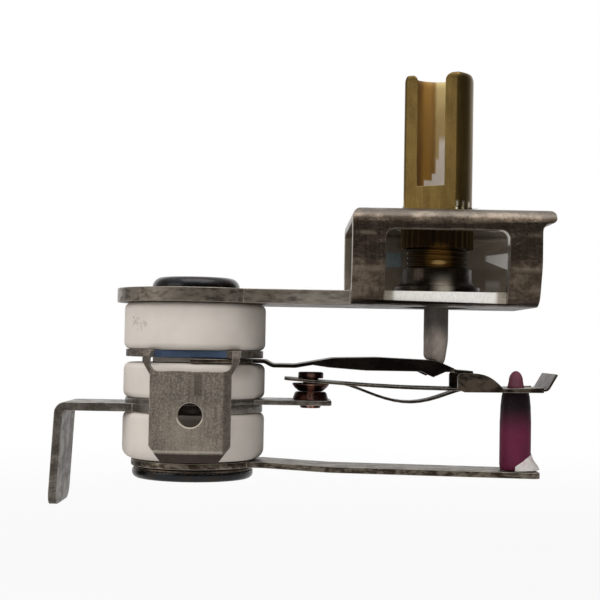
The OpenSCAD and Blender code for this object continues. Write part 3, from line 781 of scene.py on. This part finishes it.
def thread_pattern():
    """A thread: one ridge wound round an upright axis."""
    p = Pattern("thread ridge", {"Radius": 2.6 * MM, "Pitch": 0.5 * MM, "Height": 3.0 * MM,
                                 "Ridge": 0.12 * MM, "Bottom": 0.0, "Across": 0.0})
    given = p.given
    path = p.node("GeometryNodeCurveSpiral", None, {
        "Resolution": 40, "Rotations": given["Height"].maths("DIVIDE", given["Pitch"]),
        "Start Radius": given["Radius"], "End Radius": given["Radius"], "Height": given["Height"]})
    ridge = p.node("GeometryNodeCurvePrimitiveCircle", {"mode": "RADIUS"}, {
        "Resolution": 4, "Radius": given["Ridge"]})
    wound = p.node("GeometryNodeCurveToMesh", None, {0: path, 1: ridge, "Fill Caps": True})
    p.end(p.node("GeometryNodeTransform", None, {
        0: wound, "Translation": p.vector(given["Across"], 0.0, given["Bottom"])}))
    return p


def knurl_pattern():
    """Upright teeth round a collar. Those that stand where the flat is cut are shorter."""
    p = Pattern("knurl teeth", {"Radius": 3.0 * MM, "Teeth": 28, "Tooth": 0.2 * MM, "Bottom": -2.8 * MM,
                                "Top": 0.6 * MM, "Flat": 1.6 * MM, "Flat top": -0.3 * MM, "Flat turn": 0.0})
    given = p.given
    angle = (p.node("GeometryNodeInputIndex") * (2 * math.pi)).maths("DIVIDE", given["Teeth"])
    x = angle.maths("COSINE") * given["Radius"]
    y = angle.maths("SINE") * given["Radius"]
    reach = (angle - given["Flat turn"]).maths("COSINE") * given["Radius"]
    on_flat = reach.maths("GREATER_THAN", given["Flat"] - given["Tooth"])
    tall = given["Top"] - on_flat * (given["Top"] - given["Flat top"]) - given["Bottom"]
    spots = p.node("GeometryNodePoints", None, {
        "Count": given["Teeth"], "Position": p.vector(x, y, given["Bottom"])})
    tooth = p.node("GeometryNodeMeshCone", None, {
        "Vertices": 3, "Radius Top": 0.8, "Radius Bottom": 1.0, "Depth": 1.0})
    p.end(p.node("GeometryNodeInstanceOnPoints", None, {
        "Points": spots, "Instance": tooth, "Rotation": p.vector(z=angle),
        "Scale": p.vector(given["Tooth"], given["Tooth"], tall)}))
    return p


# Pieces

class ThermostatSettings(bpy.types.PropertyGroup):
    stage: PointerProperty(type=StageSettings, name="Stage", description="Floor and lamps")
    frame: PointerProperty(type=FrameSettings, name="Frame", description="Folded frame and bushing")
    spindle: PointerProperty(type=SpindleSettings, name="Spindle", description="Spindle, thread and knurl")
    stack: PointerProperty(type=StackSettings, name="Stack", description="Ceramic rings and eyelet")
    terminals: PointerProperty(type=TerminalSettings, name="Terminals", description="Front and side tabs")
    blades: PointerProperty(type=BladeSettings, name="Blades", description="Carrier, blade and contacts")
    bimetal: PointerProperty(type=BimetalSettings, name="Bimetal", description="Bimetal strip and pins")


def options():
    """The values that a user may change."""
    return bpy.context.scene.thermostat


def add_camera(scene):
    """A long lens just below the arm's height, as in the photograph."""
    data = bpy.data.cameras.new("camera")
    data.lens = 76.8
    data.sensor_width = 36
    data.clip_start = 0.005
    camera = bpy.data.objects.new("camera", data)
    eye = Vector((-12.343, -107.0, -10.965)) * MM
    turn, tilt, roll = (math.radians(a) for a in (0.5, 2.0, 1.0))
    ahead = Vector((math.sin(turn) * math.cos(tilt), math.cos(turn) * math.cos(tilt), math.sin(tilt)))
    level = Vector((math.cos(turn), -math.sin(turn), 0))
    above = level.cross(ahead)
    right = level * math.cos(roll) + above * math.sin(roll)
    up = above * math.cos(roll) - level * math.sin(roll)
    camera.matrix_world = Matrix.Translation(eye) @ Matrix((right, up, -ahead)).transposed().to_4x4()
    scene.collection.objects.link(camera)
    scene.camera = camera


def add_floor(scene, low):
    """A pale floor that the camera sees nearly white, with the part's shadow."""
    mesh = bpy.data.meshes.new("floor")
    half = 1.2
    mesh.from_pydata([(-half, -half, low), (half, -half, low), (half, half, low), (-half, half, low)], [],
                     [(0, 1, 2, 3)])
    floor = bpy.data.objects.new("floor", mesh)
    scene.collection.objects.link(floor)
    floor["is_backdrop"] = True
    f = Finish("pale floor", (0.9, 0.9, 0.9))
    seen, glossy = f.rays()
    x, y = f.parts(f.place())[:2]
    far = (x * x + y * y).maths("SQRT").between(60, 260)
    lit = f.node("ShaderNodeBsdfPrincipled", None, {
        "Base Color": f.mix(f.cloud(2.0, detail=2) * 0.2, (0.84, 0.84, 0.84), (0.8, 0.8, 0.8)),
        "Roughness": 0.9, "Specular IOR Level": 0.2})
    white = f.node("ShaderNodeEmission", None, {"Color": (1, 1, 1), "Strength": 1.0})
    share = (seen * (0.88 + 0.12 * far)).most(glossy * 0.3)
    mixed = f.node("ShaderNodeMixShader", None, {0: share, 1: lit, 2: white})
    f.node("ShaderNodeOutputMaterial", None, {0: mixed})
    mesh.materials.append(f.material)


def add_lamp(scene, name, place, aim, width, depth, power):
    """An area lamp, its places and sizes in millimetres."""
    data = bpy.data.lights.new(name, "AREA")
    data.shape = "RECTANGLE"
    data.size, data.size_y = width * MM, depth * MM
    data.energy = power
    lamp = bpy.data.objects.new(name, data)
    spot, target = Vector(place) * MM, Vector(aim) * MM
    turn = (target - spot).to_track_quat("-Z", "Y").to_matrix().to_4x4()
    lamp.matrix_world = Matrix.Translation(spot) @ turn
    scene.collection.objects.link(lamp)


def add_surround(scene, soft_level, sharp_level):
    """The room: white to the camera, soft light from the front left, bright panels in reflections."""
    world = bpy.data.worlds.new("surround")
    scene.world = world
    world.use_nodes = True
    n = Nodes(world.node_tree)
    x, y, z = n.parts(n.node("ShaderNodeTexCoord", None, None, "Generated"))
    seen, glossy = n.rays()
    soft = (0.34 + x * -0.34 + y * -0.84 + z * 0.12).most(0.0) * soft_level
    behind = y.between(0.3, 0.85)
    above = z.between(0.4, 0.9)
    left = x.between(-0.3, -0.95)
    strip = z.span(-0.46, -0.34, -0.24, -0.14)
    below = z.between(-0.3, -0.5)
    sharp = (0.05 + left * 0.3 + below * 0.1).most(behind).most(above * 0.95).most(strip * 0.45)
    level = soft + (sharp * sharp_level - soft) * glossy
    back = n.node("ShaderNodeBackground", None, {0: (1, 1, 1), 1: level + (1 - level) * seen})
    n.node("ShaderNodeOutputWorld", None, {0: back})


class BuildStage(bpy.types.Operator):
    """Makes the camera, the lamps, the surround and the pale floor"""
    bl_idname = "thermostat.stage"
    bl_label = "Stage"

    def execute(self, context):
        s = options().stage
        scene = context.scene
        add_camera(scene)
        add_floor(scene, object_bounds()[0].z - s.floor_drop)
        add_lamp(scene, "key lamp", (-10, -40, 150), (-8, 0, -8), 160, 110, s.key_light)
        add_lamp(scene, "fill lamp", (-150, -90, 40), (-10, 0, -8), 120, 120, s.fill_light)
        add_surround(scene, s.surround, s.shine)
        scene.view_settings.view_transform = "Standard"
        return {"FINISHED"}


class BuildFrame(bpy.types.Operator):
    """Finishes the folded frame, its bushing and the washer under the stack"""
    bl_idname = "thermostat.frame"
    bl_label = "Frame"

    def execute(self, context):
        s = options().frame
        steel = nickel_plate("nickel sheet", s.rolled, s.tarnish, s.sheared, grain=0.05, tarnish=0.65,
                             marks=fold_marks)
        dark = nickel_plate("turned steel", paint(70, 61, 52), paint(38, 31, 26), paint(96, 86, 76),
                            tarnish=0.7, marks=painted_sheen)
        base = size_of("support_frame")[0].z
        arm_side, window, rear_window = -8, 5, 1.85

        def rubbed(point):
            if point.x > arm_side - 0.5 and point.z > base + 0.9:
                return 0.1 if abs(point.x) < window else 0.25
            return 0.8

        def sheared(centre, normal):
            if centre.z < base + 1.2 and abs(normal.z) < 0.3:
                return 1.0 if centre.x > -window - 0.5 and abs(normal.y) > 0.7 else 0.45
            return 0.4 if abs(normal.x) > 0.7 else 0.0

        def inside(centre, normal):
            if centre.x < arm_side or centre.z < base + 1.1 and normal.z < 0.5:
                return 0.0
            return normal.y * centre.y < -0.5 or normal.z < -0.5 and centre.z > -2

        def narrowed(point):
            if point.y > 4 and 2.0 < abs(point.x) < 2.4:
                return Vector((math.copysign(rear_window, point.x), point.y, point.z))
            return point

        finished("support_frame", "frame_sheet", steel, "frame", "frame_steel", narrowed, width=s.edge,
                 cut=sheared, inner=inside, rubbed=rubbed)
        finished("threaded_bushing", "bushing", dark, "frame", "frame_steel")
        finished("stack_washer", "washer", steel, "frame", "frame_steel")
        thread = thread_pattern()
        for side, name in ((-1, "left_hole_thread"), (1, "right_hole_thread")):
            thread.make(name, steel, "frame", "frame_steel", radius=1.27 * MM, pitch=0.4 * MM,
                        height=1.0 * MM, ridge=0.09 * MM, bottom=-1.08 * MM, across=side * 5.6 * MM)
        return {"FINISHED"}


class BuildSpindle(bpy.types.Operator):
    """Makes the brass spindle with its thread and knurl, the calibration screw and the adjusting pin"""
    bl_idname = "thermostat.spindle"
    bl_label = "Spindle"

    def execute(self, context):
        s = options().spindle
        brass = turned_brass("turned brass", s.brass, s.amber)
        low, high = size_of("adjusting_spindle")
        collar, knurl_top = -2.8, 0.6
        bore_r, shaft_r = 2.2, 2.86
        core, flat = 2.6 - s.depth / MM, 1.6
        flat_turn = math.radians(-90 - 29)
        way = Vector((math.cos(flat_turn), math.sin(flat_turn)))
        side = Vector((-way.y, way.x))

        def slimmed(point):
            r = math.hypot(point.x, point.y)
            if point.z < collar + 0.01 and 2.4 < r < 2.7:
                return Vector((point.x * core / r, point.y * core / r, point.z))
            if r > shaft_r and point.z < knurl_top + 0.01:
                return Vector((point.x * shaft_r / r, point.y * shaft_r / r, point.z))
            return point

        def drawn_in(point, by):
            r = point.length
            moved = point * ((r - by if r > bore_r + 0.1 else r + by) / r)
            reach = flat - by
            if moved.dot(way) <= reach:
                return moved
            across = math.sqrt(max(0.0, moved.length_squared - reach * reach))
            return way * reach + side * math.copysign(across, moved.dot(side))

        def in_bore(centre, normal):
            r = math.hypot(centre.x, centre.y)
            return centre.z > 2.3 and r < bore_r and normal.x * centre.x + normal.y * centre.y < -0.3 * r

        def upright_corner(edge):
            ends = [vert.co / MM for vert in edge.verts]
            return (edge.is_manifold and edge.calc_face_angle(0) > math.radians(30)
                    and min(math.hypot(end.x, end.y) for end in ends) > 2.5
                    and min(end.z for end in ends) > -0.2 and abs(ends[0].z - ends[1].z) > 0.1)

        bm = joined_copy("adjusting_spindle", slimmed)
        bmesh.ops.bevel(bm, geom=[e for e in bm.edges if upright_corner(e)], offset=0.2 * MM,
                        offset_type="OFFSET", segments=3, profile=0.5, affect="EDGES", clamp_overlap=True)
        round_end(bm, 4.0, high.z + 0.14, 0.26, 0.65, drawn_in)
        break_edges(bm, sharp=35, inner=in_bore)
        settle(bm, "spindle", brass, "spindle", "brass", "adjusting_spindle")
        thread_pattern().make("spindle_thread", brass, "spindle", "brass", radius=core * MM, pitch=s.pitch,
                              height=(collar - low.z - 0.25) * MM, ridge=s.depth, bottom=(low.z + 0.2) * MM)
        knurl_pattern().make("spindle_knurl", brass, "spindle", "brass", radius=2.84 * MM, teeth=s.teeth,
                             wear=1.0, tooth=0.2 * MM, bottom=collar * MM, top=knurl_top * MM,
                             flat=flat * MM, flat_top=-0.3 * MM, flat_turn=flat_turn)
        finished("calibration_screw", "screw", brass, "spindle", "brass")

        low, high = size_of("adjusting_pin")
        r = (high.x - low.x) / 2
        profile = soften([(0, high.z), (r, high.z), (r, low.z + 1.6), (r - 0.06, low.z + 0.7),
                          (r - 0.1, low.z + 0.3), (r - 0.3, low.z), (0, low.z)], 0.2)
        bm = lathe(profile, 64, wobble=0.02, size=1.2)
        for vert in bm.verts:
            foot = max(0.0, (low.z + 1.2) * MM - vert.co.z) / 1.2
            vert.co.z -= foot * (0.04 + 0.42 * max(0.0, vert.co.x / MM + 0.3))
            vert.co.x -= foot * (0.12 if vert.co.x < 0 else 0.2) * min(1, abs(vert.co.x) / MM)
        rod = pressed_ceramic("grey ceramic", options().bimetal.plain, paint(92, 84, 78))
        settle(bm, "adjusting_rod", rod, "pusher", "pin_ceramic", "adjusting_pin")
        return {"FINISHED"}


class BuildStack(bpy.types.Operator):
    """Makes the ceramic rings and the eyelet that clamps them"""
    bl_idname = "thermostat.stack"
    bl_label = "Stack"

    def execute(self, context):
        s = options().stack
        ceramic = steatite("steatite", s.ceramic, s.speck)
        for place in ("upper", "middle", "lower"):
            finished(f"{place}_insulator", f"{place}_ceramic", ceramic, "frame", "ceramic", width=0.06 * MM)
        finished("stack_eyelet", "eyelet", blued_steel("blued steel", s.blued), "frame", "eyelet_steel")
        return {"FINISHED"}


class BuildTerminals(bpy.types.Operator):
    """Finishes the two tab terminals and the fixed contact's strip"""
    bl_idname = "thermostat.terminals"
    bl_label = "Terminals"

    def execute(self, context):
        s = options().terminals
        front = nickel_plate("grained nickel", s.front, paint(70, 63, 56), paint(216, 208, 196), grain=0.2,
                             tarnish=0.35, metal=0.5, gloss=0.4, marks=tab_marks)
        side = nickel_plate("pale nickel", s.side, paint(78, 70, 63), paint(186, 179, 168), grain=0.08,
                            metal=0.85, marks=shaded_marks)
        for node, name, finish in (("front_terminal", "front_tab", front),
                                   ("side_terminal", "side_tab", side),
                                   ("fixed_contact_strip", "fixed_strip", side)):
            finished(node, name, finish, "frame", "terminal_steel", width=s.edge)
        return {"FINISHED"}


class BuildBlades(bpy.types.Operator):
    """Finishes the spring carrier, the snap blade and the two contacts"""
    bl_idname = "thermostat.blades"
    bl_label = "Blades"

    def execute(self, context):
        s = options().blades
        head = size_of("moving_contact")[1].z - 0.15

        def turned_down(centre, normal):
            return abs(normal.y) > 0.7 and -12 < centre.x < 0.9

        def taller(point):
            return point + Vector((0, 0, 0.24)) if point.z > head else point

        spring = spring_strip("spring strip", s.spring, s.burnt)
        finished("spring_carrier", "carrier_leaf", spring, "carrier", "blade_steel", width=s.edge, sharp=40,
                 inner=turned_down)
        finished("snap_blade", "blade", spring, "blade", "blade_steel", width=s.edge, sharp=40)
        alloy = contact_alloy("contact alloy", s.contact)
        finished("fixed_contact", "lower_contact", alloy, "frame", "contact", width=0.04 * MM, sharp=25)
        finished("moving_contact", "upper_contact", alloy, "blade", "contact", taller, width=0.04 * MM,
                 sharp=25)
        return {"FINISHED"}


class BuildBimetal(bpy.types.Operator):
    """Finishes the bimetal strip and makes its purple ceramic pin and the dab of cement"""
    bl_idname = "thermostat.bimetal"
    bl_label = "Bimetal"

    def execute(self, context):
        s = options().bimetal
        finished("bimetal_strip", "bimetal", rolled_bimetal("rolled bimetal", s.strip), "bimetal", "bimetal",
                 sharp=35)
        finished("bimetal_pin", "purple_pin", stained_ceramic("stained ceramic", s.stained), "bimetal",
                 "purple_ceramic", sharp=35)
        bm = joined_copy("pin_cement")
        bmesh.ops.triangulate(bm, faces=bm.faces)
        bmesh.ops.subdivide_edges(bm, edges=bm.edges, cuts=3, use_grid_fill=True)
        bm.normal_update()
        low = size_of("pin_cement")[0]
        wedge_end = 8.0
        for vert in bm.verts:
            lump = noise.noise(vert.co / MM * 2.2) * 0.06 + noise.noise(vert.co / MM * 5.0) * 0.02
            vert.co += vert.normal * (lump - 0.02) * MM
            left = max(0.0, min(1.0, (wedge_end - vert.co.x / MM) / (wedge_end - low.x)))
            vert.co.z -= (vert.co.z - low.z * MM) * 0.85 * left
        bm.verts.layers.float.new("edge")
        settle(bm, "cement", dry_cement("dry cement", s.cement), "bimetal", "cement", "pin_cement")
        return {"FINISHED"}


OPERATORS = (BuildStage, BuildFrame, BuildSpindle, BuildStack, BuildTerminals, BuildBlades, BuildBimetal)


class ThermostatPanel(bpy.types.Panel):
    """Lists the operators, then the settings of each group of pieces"""
    bl_idname = "VIEW3D_PT_thermostat"
    bl_label = "Thermostat"
    bl_space_type = "VIEW_3D"
    bl_region_type = "UI"
    bl_category = "Thermostat"

    def draw(self, context):
        for operator in OPERATORS:
            self.layout.operator(operator.bl_idname)
        for part in ThermostatSettings.__annotations__:
            group = getattr(options(), part)
            box = self.layout.box()
            box.label(text=part.capitalize())
            for key in type(group).__annotations__:
                box.prop(group, key)


CLASSES = (StageSettings, FrameSettings, SpindleSettings, StackSettings, TerminalSettings, BladeSettings,
           BimetalSettings, ThermostatSettings) + OPERATORS + (ThermostatPanel,)


def register():
    for cls in CLASSES:
        bpy.utils.register_class(cls)
    bpy.types.Scene.thermostat = PointerProperty(type=ThermostatSettings)


def unregister():
    del bpy.types.Scene.thermostat
    for cls in reversed(CLASSES):
        bpy.utils.unregister_class(cls)


def main():
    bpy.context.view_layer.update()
    register()
    for operator in OPERATORS:
        group, name = operator.bl_idname.split(".")
        getattr(getattr(bpy.ops, group), name)()


if __name__ == "__main__":
    main()
